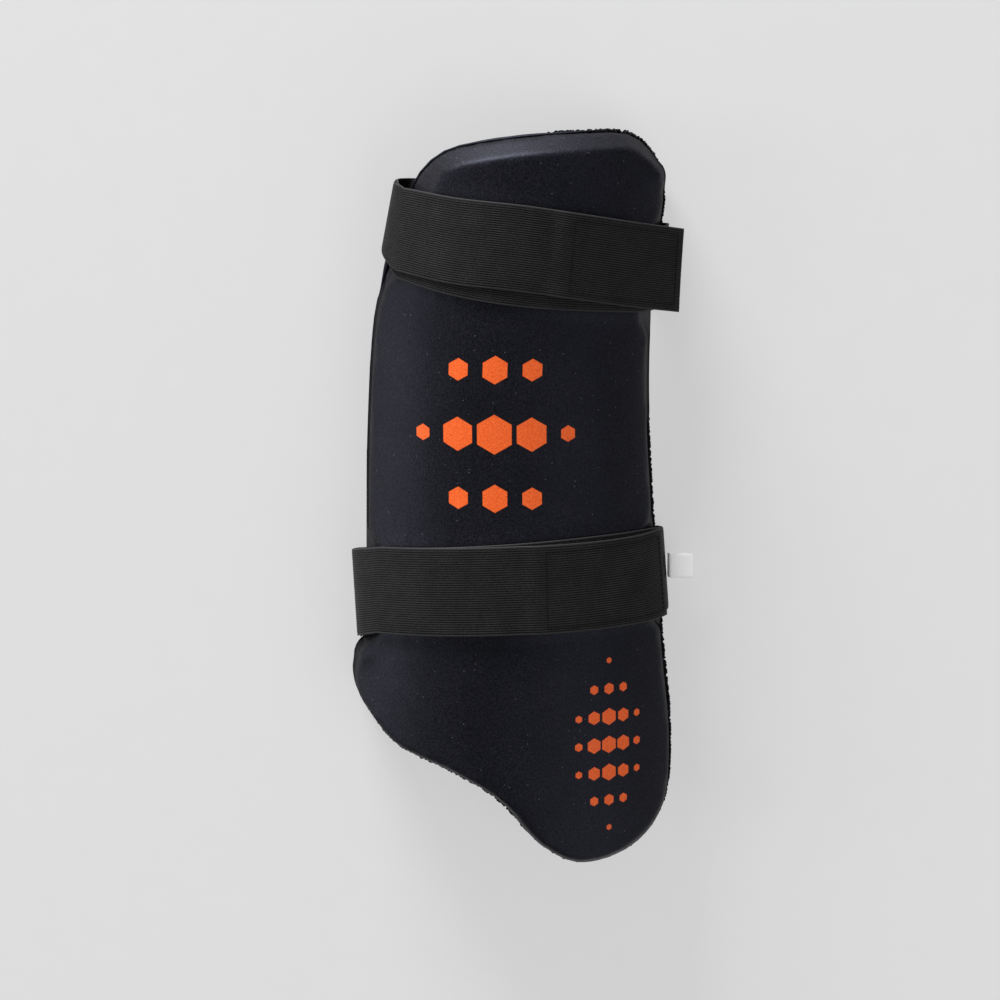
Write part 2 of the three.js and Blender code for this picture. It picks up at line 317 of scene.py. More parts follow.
# The straps squeeze the cover, which puckers at its edge: above the upper one and below the lower one.
# Each row gives the middle, the radius and the height.
PUCKER_ROWS = [
    (Vector((75, 355)), 7, 2.6),
    (Vector((-79, 107)), 6, 2),
]
relaxed.normal_update()
for vert in relaxed.verts:
    plan = in_plan(vert.co).xy
    for middle, reach, height in PUCKER_ROWS:
        lift = height * math.exp(-((plan - middle).length / reach) ** 2)
        vert.co += vert.normal * lift * MM

# The cover's nap is rubbed flat on the front, which shines a little. It stands up at the edges, which don't.
NAP_RANGE = (0.15, 0.5)
flat_nap = relaxed.verts.layers.float.new("flat_nap")
relaxed.normal_update()
for vert in relaxed.verts:
    vert[flat_nap] = smoothstep(*NAP_RANGE, vert.normal.z)

# The cloth's own map, in millimetres: round the shell from its middle, and up the pad.
cloth_map = relaxed.loops.layers.uv.new("cloth")
for face in relaxed.faces:
    for corner in face.loops:
        point = in_plan(corner.vert.co)
        middle, radius, _, _ = shell_section(point.y)
        around = radius * math.asin(min(max((point.x - middle) / radius, -1), 1))
        corner[cloth_map].uv = (around, point.y)
relaxed.to_mesh(pad.data)
relaxed.free()
pad.data.shade_smooth()


def linear(hex_code):
    """An sRGB hex colour as linear RGBA."""
    channels = [int(hex_code[i:i + 2], 16) / 255 for i in (1, 3, 5)]
    return (*[c / 12.92 if c <= 0.04045 else ((c + 0.055) / 1.055) ** 2.4 for c in channels], 1)


def add_node(material, kind, sockets, **settings):
    """Add a shader node with its settings; each socket gets a value or another node's output."""
    tree = material.node_tree
    node = tree.nodes.new("ShaderNode" + kind)
    for name, value in settings.items():
        setattr(node, name, value)
    for socket, value in sockets.items():
        if isinstance(value, bpy.types.NodeSocket):
            tree.links.new(value, node.inputs[socket])
        else:
            node.inputs[socket].default_value = value
    return node


def new_material(name, roughness, **shader_values):
    """A material with one shader, whose even values are set on its own sockets."""
    material = bpy.data.materials.new(name)
    material.use_nodes = True
    shader = material.node_tree.nodes["Principled BSDF"]
    shader.inputs["Roughness"].default_value = roughness
    for socket, value in shader_values.items():
        shader.inputs[socket.replace("_", " ")].default_value = value
    return material, shader


# Polyester stretch knit, brushed: a matte near-black with a fine grain of loops, some lint, and a cool glow
# where the light grazes it. The loops are 0.4 mm apart, and are drawn at 0.8 mm so that they show.
knit, knit_shader = new_material("stretch_knit", 0.46, IOR=1.5, Specular_Tint=linear("#c8cdee"))
nap = add_node(knit, "Attribute", {}, attribute_name="flat_nap")
nap_gloss = add_node(knit, "Math", {0: nap.outputs["Fac"], 1: 0.16}, operation="MULTIPLY")
knit.node_tree.links.new(nap_gloss.outputs[0], knit_shader.inputs["Specular IOR Level"])
knit_uv = add_node(knit, "UVMap", {}, uv_map="cloth")
knit_place = add_node(knit, "TexCoord", {})
in_mm = add_node(knit, "VectorMath", {0: knit_place.outputs["Object"], "Scale": 1 / MM}, operation="SCALE")
loop_map = add_node(knit, "Mapping", {"Vector": in_mm.outputs[0], "Scale": (1 / 0.8, 1 / 1.1, 1 / 0.8)})
loops = add_node(knit, "TexNoise", {
    "Vector": loop_map.outputs[0], "Scale": 1.0, "Detail": 2.0, "Roughness": 0.7,
})
grain = add_node(knit, "MapRange", {"Value": loops.outputs[0], "From Min": 0.35, "From Max": 0.65})
pile_lie = add_node(knit, "TexNoise", {"Vector": in_mm.outputs[0], "Scale": 1 / 30, "Detail": 3.0})
shade = add_node(knit, "Mix", {
    0: grain.outputs[0], 6: linear("#020203"), 7: linear("#17171b"),
}, data_type="RGBA")
mottle = add_node(knit, "MapRange", {
    "Value": pile_lie.outputs[0], "From Min": 0.3, "From Max": 0.7, "To Min": 0.75, "To Max": 1.25,
})
mottled = add_node(knit, "VectorMath", {0: shade.outputs[2], "Scale": mottle.outputs[0]}, operation="SCALE")

# Lint: grains of up to 0.6 mm, one in some of the 3 mm cells that the cover passes through.
lint_cells = add_node(knit, "TexVoronoi", {"Vector": in_mm.outputs[0], "Scale": 1 / 3})
lint_near = add_node(knit, "Math", {0: lint_cells.outputs["Distance"], 1: 0.1}, operation="LESS_THAN")
lint_draw = add_node(knit, "SeparateColor", {"Color": lint_cells.outputs["Color"]})
lint_some = add_node(knit, "Math", {0: lint_draw.outputs[0], 1: 0.82}, operation="GREATER_THAN")
lint_mask = add_node(knit, "Math", {0: lint_near.outputs[0], 1: lint_some.outputs[0]}, operation="MULTIPLY")
lint_share = add_node(knit, "Math", {0: lint_mask.outputs[0], 1: 0.16}, operation="MULTIPLY")
linted = add_node(knit, "Mix", {
    0: lint_share.outputs[0], 6: mottled.outputs[0], 7: linear("#a4a6ac"),
}, data_type="RGBA")

# Transfer prints: clusters of hexagons that shrink towards the cluster's edge, in a flat orange ink.
# Each row gives the middle, the hexagons' spacing and the cluster's half width and half height.
PRINT_ROWS = [
    ((-8, 226), 19, (43, 56)),
    ((53, 62), 8.6, (21.5, 47)),
]
ink = add_node(knit, "Mix", {
    0: grain.outputs[0], 6: linear("#cf511f"), 7: linear("#e2642b"),
}, data_type="RGBA")
cover_colour = linted
for middle, spacing, reach in PRINT_ROWS:
    row_height = spacing * math.sqrt(3)
    cell_high = (spacing / 2, row_height / 2, 1)
    cell_low = (-spacing / 2, -row_height / 2, -1)
    spot = add_node(knit, "VectorMath", {0: knit_uv.outputs[0], 1: (*middle, 0)}, operation="SUBTRACT")
    even = add_node(knit, "VectorMath", {0: spot.outputs[0], 1: cell_high, 2: cell_low}, operation="WRAP")
    moved = add_node(knit, "VectorMath", {0: spot.outputs[0], 1: cell_high}, operation="ADD")
    odd = add_node(knit, "VectorMath", {0: moved.outputs[0], 1: cell_high, 2: cell_low}, operation="WRAP")
    even_far = add_node(knit, "VectorMath", {0: even.outputs[0]}, operation="LENGTH")
    odd_far = add_node(knit, "VectorMath", {0: odd.outputs[0]}, operation="LENGTH")
    is_even = add_node(knit, "Math", {0: even_far.outputs[1], 1: odd_far.outputs[1]}, operation="LESS_THAN")
    inside = add_node(knit, "Mix", {
        0: is_even.outputs[0], 4: odd.outputs[0], 5: even.outputs[0],
    }, data_type="VECTOR")
    cell = add_node(knit, "VectorMath", {0: spot.outputs[0], 1: inside.outputs[1]}, operation="SUBTRACT")
    folded = add_node(knit, "VectorMath", {0: inside.outputs[1]}, operation="ABSOLUTE")
    flat_side = add_node(knit, "VectorMath", {0: folded.outputs[0], 1: (1, 0, 0)}, operation="DOT_PRODUCT")
    slant_side = add_node(knit, "VectorMath", {
        0: folded.outputs[0], 1: (0.5, math.sqrt(0.75), 0),
    }, operation="DOT_PRODUCT")
    hex_far = add_node(knit, "Math", {0: flat_side.outputs[1], 1: slant_side.outputs[1]}, operation="MAXIMUM")
    in_cluster = add_node(knit, "VectorMath", {0: cell.outputs[0], 1: (*reach, 1)}, operation="DIVIDE")
    cluster_far = add_node(knit, "VectorMath", {0: in_cluster.outputs[0]}, operation="LENGTH")
    hexagon = add_node(knit, "MapRange", {
        "Value": cluster_far.outputs[1], "From Min": 0.3, "From Max": 1.0,
        "To Min": 0.465 * spacing, "To Max": 0.14 * spacing,
    })
    within = add_node(knit, "Math", {0: cluster_far.outputs[1], 1: 1.0}, operation="LESS_THAN")
    edge = add_node(knit, "Math", {0: hexagon.outputs[0], 1: hex_far.outputs[0]}, operation="SUBTRACT")
    inked = add_node(knit, "MapRange", {"Value": edge.outputs[0], "From Min": -0.15, "From Max": 0.15})
    printed = add_node(knit, "Math", {0: inked.outputs[0], 1: within.outputs[0]}, operation="MULTIPLY")
    cover_colour = add_node(knit, "Mix", {
        0: printed.outputs[0], 6: cover_colour.outputs[2], 7: ink.outputs[2],
    }, data_type="RGBA")
knit.node_tree.links.new(cover_colour.outputs[2], knit_shader.inputs["Base Color"])
knit_bump = add_node(knit, "Bump", {"Height": loops.outputs[0], "Strength": 0.5, "Distance": 0.3 * MM})
knit.node_tree.links.new(knit_bump.outputs[0], knit_shader.inputs["Normal"])
finish_piece(pad, knit, "cover", "pad_body")

# Back panel.
# Black terry towelling, cut a little wider than the guard and sewn to its cover along the rim. Its loops
# line the hollow that lies on the thigh, and stand out past the rim.
LOOP_HEIGHT = 1.5 * MM
LOOP_YARN = 0.42 * MM
LOOP_LEAN = 0.35
BACK_SPACING = 3.3
BACK_JITTER = 0.22
BACK_STRAP_CLEAR = 3
RIM_LOOP_AREA = 1.0
RIM_STRAP_CLEAR = 1.6
RIM_CLEAR = 2.4
RIM_TRIM = 1.2
RIM_STEPS = 8
LINING_THICKNESS = 3
lining_solid = merged_copy("back_lining")


def rim_edge(solid):
    """The lining's upper outer edge, as a closed line of points."""
    def is_edge(edge):
        lean = sorted(abs(face.normal.z) for face in edge.link_faces)
        faces_down = any(face.normal.z <= -UPRIGHT for face in edge.link_faces)
        return lean[0] < UPRIGHT and lean[1] > FACES_UP and not faces_down

    edges = {edge for edge in solid.edges if is_edge(edge)}
    edge = edges.pop()
    first, vert = edge.verts
    line = [first.co.copy()]
    while vert is not first:
        line.append(vert.co.copy())
        edge = next(linked for linked in vert.link_edges if linked in edges)
        edges.remove(edge)
        vert = edge.other_vert(vert)
    return line


def terry_loop():
    """One loop of pile: a round yarn, bent over in a half circle, with closed ends."""
    loop = bmesh.new()
    side = LOOP_HEIGHT - LOOP_YARN
    beside = Matrix.Translation((side, 0, 0))
    ring = bmesh.ops.create_circle(loop, segments=4, radius=LOOP_YARN, matrix=beside)
    bmesh.ops.spin(
        loop, geom=ring["verts"] + loop.edges[:], cent=(0, 0, 0), axis=(0, -1, 0), angle=math.pi, steps=4
    )
    bmesh.ops.holes_fill(loop, edges=loop.edges, sides=4)
    bmesh.ops.recalc_face_normals(loop, faces=loop.faces)
    mesh = bpy.data.meshes.new("terry_loop")
    loop.to_mesh(mesh)
    loop.free()
    return mesh


def loop_pile(name, roots, sizes, seed):
    """Many loops as one mesh, each standing on a root: a point and the way out of the cloth."""
    draw = np.random.default_rng(seed)
    one = terry_loop()
    shape = point_array(one)
    corners = np.array([list(face.vertices) for face in one.polygons])
    points = []
    for place, out in roots:
        lean = Vector(draw.normal(0, LOOP_LEAN, 3))
        twist = Matrix.Rotation(draw.uniform(0, math.tau), 3, "Z")
        turn = (out + lean).to_track_quat("Z", "X").to_matrix() @ twist
        points.append(shape @ np.array(turn).T * draw.uniform(*sizes) + np.array(place))
    faces = np.concatenate([corners + i * len(shape) for i in range(len(points))])
    mesh = bpy.data.meshes.new(name)
    mesh.from_pydata(np.concatenate(points), [], faces)
    mesh.shade_smooth()
    bpy.data.meshes.remove(one)
    piece = bpy.data.objects.new(name, mesh)
    bpy.context.scene.collection.objects.link(piece)
    return piece


# Loops in the hollow, on a jittered grid, left out along the rim and where a strap is sewn on.
rim_line = rim_edge(lining_solid)
for vert, out in wall_directions(lining_solid).items():
    vert.co -= out * RIM_TRIM * MM
lining_wall = BVHTree.FromBMesh(lining_solid)
rim_sides = zip(rim_line, rim_line[1:] + rim_line[:1])
rim_steps = [a.lerp(b, i / RIM_STEPS) for a, b in rim_sides for i in range(RIM_STEPS)]
rim_tree = KDTree(len(rim_steps))
for i, point in enumerate(rim_steps):
    rim_tree.insert(point - Vector((0, 0, LINING_THICKNESS * MM)), i)
rim_tree.balance()
back_draw = np.random.default_rng(7)
back_roots = []
back_low, back_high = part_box("back_lining")
for row, y in enumerate(np.arange(back_low.y, back_high.y, BACK_SPACING * MM * math.sqrt(0.75))):
    for x in np.arange(back_low.x + (row % 2) * BACK_SPACING / 2 * MM, back_high.x, BACK_SPACING * MM):
        jitter = back_draw.normal(0, BACK_JITTER * BACK_SPACING * MM, 2)
        from_below = Vector((x + jitter[0], y + jitter[1], -0.01))
        place, out, _, _ = lining_wall.ray_cast(from_below, Vector((0, 0, 1)))
        if not place or out.z > -FACES_UP or rim_tree.find(place)[2] < RIM_CLEAR * MM:
            continue
        if strap_distance(place) > BACK_STRAP_CLEAR * MM:
            back_roots.append((place, out))
back_pile = loop_pile("terry_back_pile", back_roots, (0.85, 1.25), 11)

# Loops on the rim, which show past the guard at the hip end's right, the right side and the tail.
rim_draw = np.random.default_rng(5)
rim_roots = []
for face in lining_solid.faces:
    if not is_wall(face) or not shows_terry(in_plan(face.calc_center_median())):
        continue
    a, b, c = (vert.co for vert in face.verts)
    for _ in range(round(face.calc_area() / (RIM_LOOP_AREA * MM * MM))):
        s, t = sorted(rim_draw.uniform(0, 1, 2))
        spot = a * s + b * (t - s) + c * (1 - t)
        if strap_distance(spot) > RIM_STRAP_CLEAR * MM:
            rim_roots.append((spot, face.normal.copy()))
rim_pile = loop_pile("terry_rim_pile", rim_roots, (0.7, 1.35), 13)

# Cotton terry, dyed black: no gloss at all, and a coarse crumb of loops 1.5 mm across.
terry, terry_shader = new_material("cotton_terry", 0.95, IOR=1.5, Specular_IOR_Level=0.1, Sheen_Weight=0.02)
terry_place = add_node(terry, "TexCoord", {})
crumb = add_node(terry, "TexNoise", {
    "Vector": terry_place.outputs["Object"], "Scale": 1 / (1.5 * MM), "Detail": 2.0, "Roughness": 0.6,
})
terry_colour = add_node(terry, "Mix", {
    0: crumb.outputs[0], 6: linear("#08080a"), 7: linear("#1a1a1d"),
}, data_type="RGBA")
terry.node_tree.links.new(terry_colour.outputs[2], terry_shader.inputs["Base Color"])
terry_bump = add_node(terry, "Bump", {"Height": crumb.outputs[0], "Strength": 0.9, "Distance": 0.8 * MM})
terry.node_tree.links.new(terry_bump.outputs[0], terry_shader.inputs["Normal"])

lining = new_piece("terry_lining", lining_solid)
finish_piece(lining, terry, "terry", "back_lining")
finish_piece(back_pile, terry, "terry")
finish_piece(rim_pile, terry, "terry")

# Cover's hem.
# The cover's edge, turned over and sewn down on the back panel's rim. It shows as a thin line behind the
# chamfer at the hip end, with a dark seam between, and springs out as a lip just below the upper strap.
HEM_WIDTH = 1.6
HEM_HEIGHT = 1.6
HEM_SIDES = 10
HEM_INSET = 0.1
HEM_LIFT = 0.2
HEM_TAPER = 24
HEM_TIP = 0.05
LIP_REACH = 1.05
LIP_SWELL = 1.3
LIP_TUCKED = (313, 318)


def extruded(stations, columns, place):
    """A closed solid: a section of columns, extruded from station to station.

    place gives the point of a column at a station. The map holds a column's place across, from -1 to 1, and
    the length along the section's track, in millimetres.
    """
    solid = bmesh.new()
    column_of = solid.verts.layers.int.new("column")
    along_of = solid.verts.layers.float.new("along")
    ring = [solid.verts.new(place(stations[0], column)) for column in columns]
    for i, vert in enumerate(ring):
        vert[column_of] = i
    edges = [solid.edges.new(pair) for pair in zip(ring, ring[1:] + ring[:1])]
    bmesh.ops.contextual_create(solid, geom=edges)
    along = 0
    track = columns[len(columns) // 4]
    for before, station in zip(stations, stations[1:]):
        along += (place(station, track) - place(before, track)).length / MM
        grown = bmesh.ops.extrude_edge_only(solid, edges=edges)["geom"]
        edges = [part for part in grown if isinstance(part, bmesh.types.BMEdge)]
        for vert in grown:
            if isinstance(vert, bmesh.types.BMVert):
                vert.co = place(station, columns[vert[column_of]])
                vert[along_of] = along
    bmesh.ops.contextual_create(solid, geom=edges)
    bmesh.ops.recalc_face_normals(solid, faces=solid.faces)
    band_map = solid.loops.layers.uv.new("band")
    half_width = max(across for across, _ in columns)
    for face in solid.faces:
        for corner in face.loops:
            across = columns[corner.vert[column_of]][0]
            corner[band_map].uv = (across / half_width, corner.vert[along_of])
    return solid


def hem_stations():
    """Points and outward directions along the hemmed rim, with the hem's thickness and lip at each."""
    count = len(rim_steps)
    shown = [is_hemmed(in_plan(point)) for point in rim_steps]
    first = next(i for i in range(count) if shown[i] and not shown[i - 1])
    run = [rim_steps[(first + i) % count] for i in range(sum(shown))]
    inside = in_frame(0, HEM_LOW, 0)
    stations = []
    for i, point in enumerate(run):
        along = run[min(i + 1, len(run) - 1)] - run[max(i - 1, 0)]
        out = Vector((along.y, -along.x, 0)).normalized()
        if out.dot(point - inside) < 0:
            out = -out
        taper = max(smoothstep(0, HEM_TAPER, min(i, len(run) - 1 - i)), HEM_TIP)
        y = in_plan(point).y
        lip = smoothstep(*LIP_RANGE, y) * (1 - smoothstep(*LIP_TUCKED, y))
        stations.append((point, out, taper, lip))
    return stations


def hem_point(station, column):
    point, out, taper, lip = station
    across, up = column
    swell = 1 + LIP_SWELL * lip
    outward = across * swell - HEM_WIDTH / 2 - HEM_INSET + LIP_REACH * lip
    upward = (up + HEM_HEIGHT / 2) * swell + HEM_LIFT
    return point + (out * outward + Vector((0, 0, upward))) * taper * MM


hem_columns = [
    (math.cos(angle) * HEM_WIDTH / 2, math.sin(angle) * HEM_HEIGHT / 2)
    for angle in np.linspace(0, math.tau, HEM_SIDES, endpoint=False)
]
hem = new_piece("cover_hem", extruded(hem_stations(), hem_columns, hem_point))
hem_rounding = hem.modifiers.new("rounding", "SUBSURF")
hem_rounding.levels = 1
hem_rounding.render_levels = 1

# The same knit as the cover, seen along its turned edge, so only its grain shows.
hem_knit, hem_shader = new_material(
    "turned_knit", 0.5, IOR=1.5, Specular_IOR_Level=0.16, Specular_Tint=linear("#c8cdee")
)
hem_place = add_node(hem_knit, "TexCoord", {})
hem_grain = add_node(hem_knit, "TexNoise", {
    "Vector": hem_place.outputs["Object"], "Scale": 1 / (0.9 * MM), "Detail": 3.0, "Roughness": 0.6,
})
hem_colour = add_node(hem_knit, "Mix", {
    0: hem_grain.outputs[0], 6: linear("#0b0c11"), 7: linear("#1a1b22"),
}, data_type="RGBA")
hem_knit.node_tree.links.new(hem_colour.outputs[2], hem_shader.inputs["Base Color"])
hem_bump = add_node(hem_knit, "Bump", {
    "Height": hem_grain.outputs[0], "Strength": 0.5, "Distance": 0.3 * MM,
})
hem_knit.node_tree.links.new(hem_bump.outputs[0], hem_shader.inputs["Normal"])
finish_piece(hem, hem_knit, "cover")

# Straps.
# Ribbed elastic webbing, sewn to the back panel inside its left edge, then wound over the front, round the
# back and over the front again. The upper one's end stands free; the lower one's lies round the right side.
GAP = 0.3
STRAP_GAP = 0.5
STRAP_THICKNESS = 1.2
PATCH_THICKNESS = 1.2
SHOULDER_TURN = 38
FOOT_RADIUS = 3
ROOT_TURN = 14
PATCH_RAMP_TURN = 6
PATCH_MARGIN = 2
UNDER_OFFSET = STRAP_GAP + STRAP_THICKNESS / 2
TOP_OFFSET = UNDER_OFFSET + STRAP_THICKNESS + GAP
PATCH_LIFT = PATCH_THICKNESS + GAP
RIBS = 36
RIB_POINTS = 4
RIB_RELIEF = 0.26
RIB_SHARE = 0.94

# A selvedge row gives a place in from the webbing's edge, and its half thickness there.
SELVEDGE_ROWS = [
    (0.1, 0.3),
    (0.4, 0.5),
    (0.8, 0.48),
]

# A lane row gives a turn, in degrees clockwise from straight up, the middle of both layers there, and the
# share of its width that the webbing keeps: it narrows where it is stretched round a side.
# A reach is where the webbing's outside turns back at a side, along its lower and its upper edge.
UPPER = {
    "width": 43,
    "lanes": smooth_table([
        (-90, 335.6, 334.4, 0.805),
        (-38, 324.4, 328.4, 0.975),
        (-20, 318, 323.9, 1),
        (0, 312.8, 320.5, 1),
        (38, 307.5, 310, 1),
    ]),
    "left": (-67.8, -59.5),
    "right": (78.5, 82),
    "patch_turn": 14,
    "end_turn": 36,
    "free_length": 29.8,
    "end_drop": 0.145,
    "end_skew": -0.035,
}
LOWER = {
    "width": 46,
    "lanes": smooth_table([
        (-90, 134.6, 135, 0.955),
        (-20, 144.2, 144.2, 1),
        (0, 147.1, 146.2, 1),
        (25, 149.6, 147.6, 1),
        (60, 149.5, 149, 1),
        (90, 147.6, 147.6, 0.92),
    ]),
    "left": (-81.2, -84.6),
    "right": (83.7, 80.3),
    "patch_turn": 8.5,
    "end_turn": 62,
    "free_length": 0,
    "end_drop": 0,
    "end_skew": -0.02,
}
left_rim = sorted((in_plan(point).y, in_plan(point).x) for point in rim_line if in_plan(point).x < -40)
left_rim_y, left_rim_x = zip(*left_rim)


def strap_arcs(strap, y, share):
    """The arcs that a strap's inside follows at one height: each one's centre and radius, by name.

    The root's radius is negative, because there the webbing lies inside the shell's hollow.
    """
    middle, radius, centre, foam = shell_section(y)
    left_edge = lerp(*strap["left"], share) + TOP_OFFSET + STRAP_THICKNESS / 2
    right_edge = lerp(*strap["right"], share) - UNDER_OFFSET - STRAP_THICKNESS / 2
    rim_x = float(np.interp(y, left_rim_y, left_rim_x))
    rim_angle = math.asin((middle - rim_x) / radius)
    root_centre = centre - GAP - LINING_THICKNESS
    tuck = (rim_x - left_edge) / (1 + math.sin(rim_angle))

    def shoulder(side, edge):
        turn = math.radians(SHOULDER_TURN)
        bend = side * (edge - middle - side * radius * math.sin(turn)) / (1 - math.sin(turn))
        return edge - side * bend, centre + foam + (radius - bend) * math.cos(turn), bend

    def foot(side, edge, offset):
        return edge - side * FOOT_RADIUS, FOOT_RADIUS + offset + STRAP_THICKNESS / 2, FOOT_RADIUS

    return {
        "root": (middle, root_centre, -radius),
        "tuck": (left_edge + tuck, root_centre + (radius + tuck) * math.cos(rim_angle), tuck),
        "left_shoulder": shoulder(-1, left_edge),
        "front": (middle, centre + foam, radius),
        "right_shoulder": shoulder(1, right_edge),
        "right_foot": foot(1, right_edge, UNDER_OFFSET),
        "left_foot": foot(-1, left_edge, TOP_OFFSET),
        "rim_turn": -180 - math.degrees(rim_angle),
    }


def strap_point(strap, station, across, out):
    """A point of the webbing: across its width from the middle, and out from the middle of its thickness."""
    arc, turn, offset, middle, span, slide, skew = station
    across *= span
    y = middle + across
    arcs = strap_arcs(strap, y, across / strap["width"] + 0.5)
    arc_x, arc_z, radius = arcs[arc]
    if arc == "root":
        turn = arcs["rim_turn"] + turn
    if arc == "tuck":
        turn = lerp(arcs["rim_turn"], -90, turn)
    angle = math.radians(turn)
    reach = radius + offset + out
    run = slide + across * skew
    x = arc_x + reach * math.sin(angle) + run * math.cos(angle)
    z = arc_z + reach * math.cos(angle) - run * math.sin(angle)
    return in_frame(x, y, z)


def sweep(arc, turns, offset, lane):
    """Stations along one arc, at the given turns."""
    return [(arc, turn, offset(turn), *lane(turn), 0, 0) for turn in turns]


def under_lane(strap):
    """The under layer's middle and share of the width, at a turn."""
    return lambda turn: strap["lanes"](turn)[[0, 2]]


def top_lane(strap):
    """The top layer's middle and share of the width, at a turn."""
    return lambda turn: strap["lanes"](turn)[[1, 2]]


def root_lane(strap):
    """The sewn root's middle and share of the width, the same along its length."""
    return lambda turn: under_lane(strap)(-90)


def under_offset(turn):
    """How far the under layer lies from the guard, which is the same all along."""
    return UNDER_OFFSET


def top_offset(strap):
    """How far the top layer lies from the guard: it rises where the hook patch starts."""
    start = strap["patch_turn"] - PATCH_RAMP_TURN
    return lambda turn: TOP_OFFSET + PATCH_LIFT * smoothstep(start, strap["patch_turn"] - 1, turn)


def end_stations(strap, from_turn, steps, offset, short_by):
    """The way over the front to the end, which stands straight off the guard or lies round its shoulder."""
    lane = top_lane(strap)
    front_to = min(strap["end_turn"], SHOULDER_TURN)
    stations = sweep("front", np.linspace(from_turn, front_to, steps), offset, lane)
    skew = strap["end_skew"]
    if strap["end_turn"] > SHOULDER_TURN:
        turns = np.linspace(SHOULDER_TURN, strap["end_turn"], 9)[1:]
        stations += sweep("right_shoulder", turns, offset, lane)
        stations[-1] = (*stations[-1][:5], -short_by, skew)
    else:
        arc, turn, rise, y, span, _, _ = stations[-1]
        for share in np.linspace(0, 1, 9)[1:]:
            slide = (strap["free_length"] - short_by) * share
            stations.append((arc, turn, rise, y - slide * strap["end_drop"], span, slide, skew * share))
    return stations


def strap_stations(strap):
    """A whole strap: sewn root, round the left edge, under layer, back run, top layer, end."""
    top = top_offset(strap)
    over = top_lane(strap)
    stations = sweep("root", np.linspace(ROOT_TURN, 0, 7), under_offset, root_lane(strap))
    stations += sweep("tuck", np.linspace(0, 1, 11)[1:], under_offset, root_lane(strap))
    for arc, turns in (
        ("left_shoulder", np.linspace(-90, -SHOULDER_TURN, 13)),
        ("front", np.linspace(-SHOULDER_TURN, SHOULDER_TURN, 40)[1:]),
        ("right_shoulder", np.linspace(SHOULDER_TURN, 90, 13)[1:]),
        ("right_foot", np.linspace(90, 180, 9)),
    ):
        stations += sweep(arc, turns, under_offset, under_lane(strap))
    stations += sweep("left_foot", np.linspace(-180, -90, 9), top, over)
    stations += sweep("left_shoulder", np.linspace(-90, -SHOULDER_TURN, 13), top, over)
    return stations + end_stations(strap, -SHOULDER_TURN, 48, top, 0)[1:]


def rib_columns(width):
    """The webbing's section: ribs on both faces between two round selvedges."""
    edge = width / 2
    top = [(-edge + inset, height) for inset, height in SELVEDGE_ROWS]
    for i in range(RIBS * RIB_POINTS + 1):
        crest = abs(math.sin(math.pi * i / RIB_POINTS)) ** 0.8
        across = lerp(-edge, edge, i / (RIBS * RIB_POINTS)) * RIB_SHARE
        top.append((across, STRAP_THICKNESS / 2 - RIB_RELIEF * (1 - crest)))
    top += [(edge - inset, height) for inset, height in reversed(SELVEDGE_ROWS)]
    under = [(across, -out) for across, out in reversed(top)]
    return [(-edge, 0)] + top + [(edge, 0)] + under


def strap_band(name, strap, stations, columns):
    """A band of webbing or tape along a strap's stations."""
    def place(station, column):
        return strap_point(strap, station, *column)

    return new_piece(name, extruded(stations, columns, place))


# Polyester and rubber elastic, woven narrow: dull black ribs with painted shade in the valleys between them,
# rubbed paler in patches, and a painted highlight along both edges, a little paler than the ribs. The picks
# across the ribs are 0.5 mm apart, and are drawn at 1.1 mm so that they show.
elastic, elastic_shader = new_material("ribbed_elastic", 0.6, IOR=1.5, Specular_IOR_Level=0.1)
elastic_uv = add_node(elastic, "UVMap", {}, uv_map="band")
half_strap = UPPER["width"] / 2
pick_map = add_node(elastic, "Mapping", {
    "Vector": elastic_uv.outputs[0], "Scale": (RIBS / 2 / RIB_SHARE, 1 / 1.1, 1),
})
picks = add_node(elastic, "TexVoronoi", {"Vector": pick_map.outputs[0], "Scale": 1.0, "Randomness": 0.6})
rub_map = add_node(elastic, "Mapping", {
    "Vector": elastic_uv.outputs[0], "Scale": (half_strap / 14, 1 / 14, 1),
})
rub = add_node(elastic, "TexNoise", {
    "Vector": rub_map.outputs[0], "Scale": 1.0, "Detail": 5.0, "Roughness": 0.6,
})
rubbed = add_node(elastic, "MapRange", {
    "Value": rub.outputs[0], "From Min": 0.3, "From Max": 0.7, "To Min": 0.75, "To Max": 1.25,
})
band_axes = add_node(elastic, "SeparateXYZ", {0: elastic_uv.outputs[0]})
# Painted shade: the colour is darkest at each valley between the ribs and palest on their crests.
rib_count = add_node(elastic, "Math", {
    0: band_axes.outputs[0], 1: RIBS / 2 / RIB_SHARE,
}, operation="MULTIPLY")
painted_valley_shade_mask = add_node(elastic, "Math", {0: rib_count.outputs[0], 1: 0.5}, operation="PINGPONG")
picks_and_painted_valley_shade_value = add_node(elastic, "Math", {
    0: picks.outputs["Distance"], 1: -0.25, 2: painted_valley_shade_mask.outputs[0],
}, operation="MULTIPLY_ADD")
picks_and_painted_valley_shade = add_node(elastic, "MapRange", {
    "Value": picks_and_painted_valley_shade_value.outputs[0], "From Min": -0.05, "From Max": 0.35,
})
# The yarn's colour, with the painted shade in the valleys between the ribs.
yarn = add_node(elastic, "Mix", {
    0: picks_and_painted_valley_shade.outputs[0], 6: linear("#030304"), 7: linear("#252526"),
}, data_type="RGBA")
wear_and_painted_valley_shade = add_node(elastic, "VectorMath", {0: yarn.outputs[2], "Scale": rubbed.outputs[0]}, operation="SCALE")
from_middle = add_node(elastic, "Math", {0: band_axes.outputs[0]}, operation="ABSOLUTE")
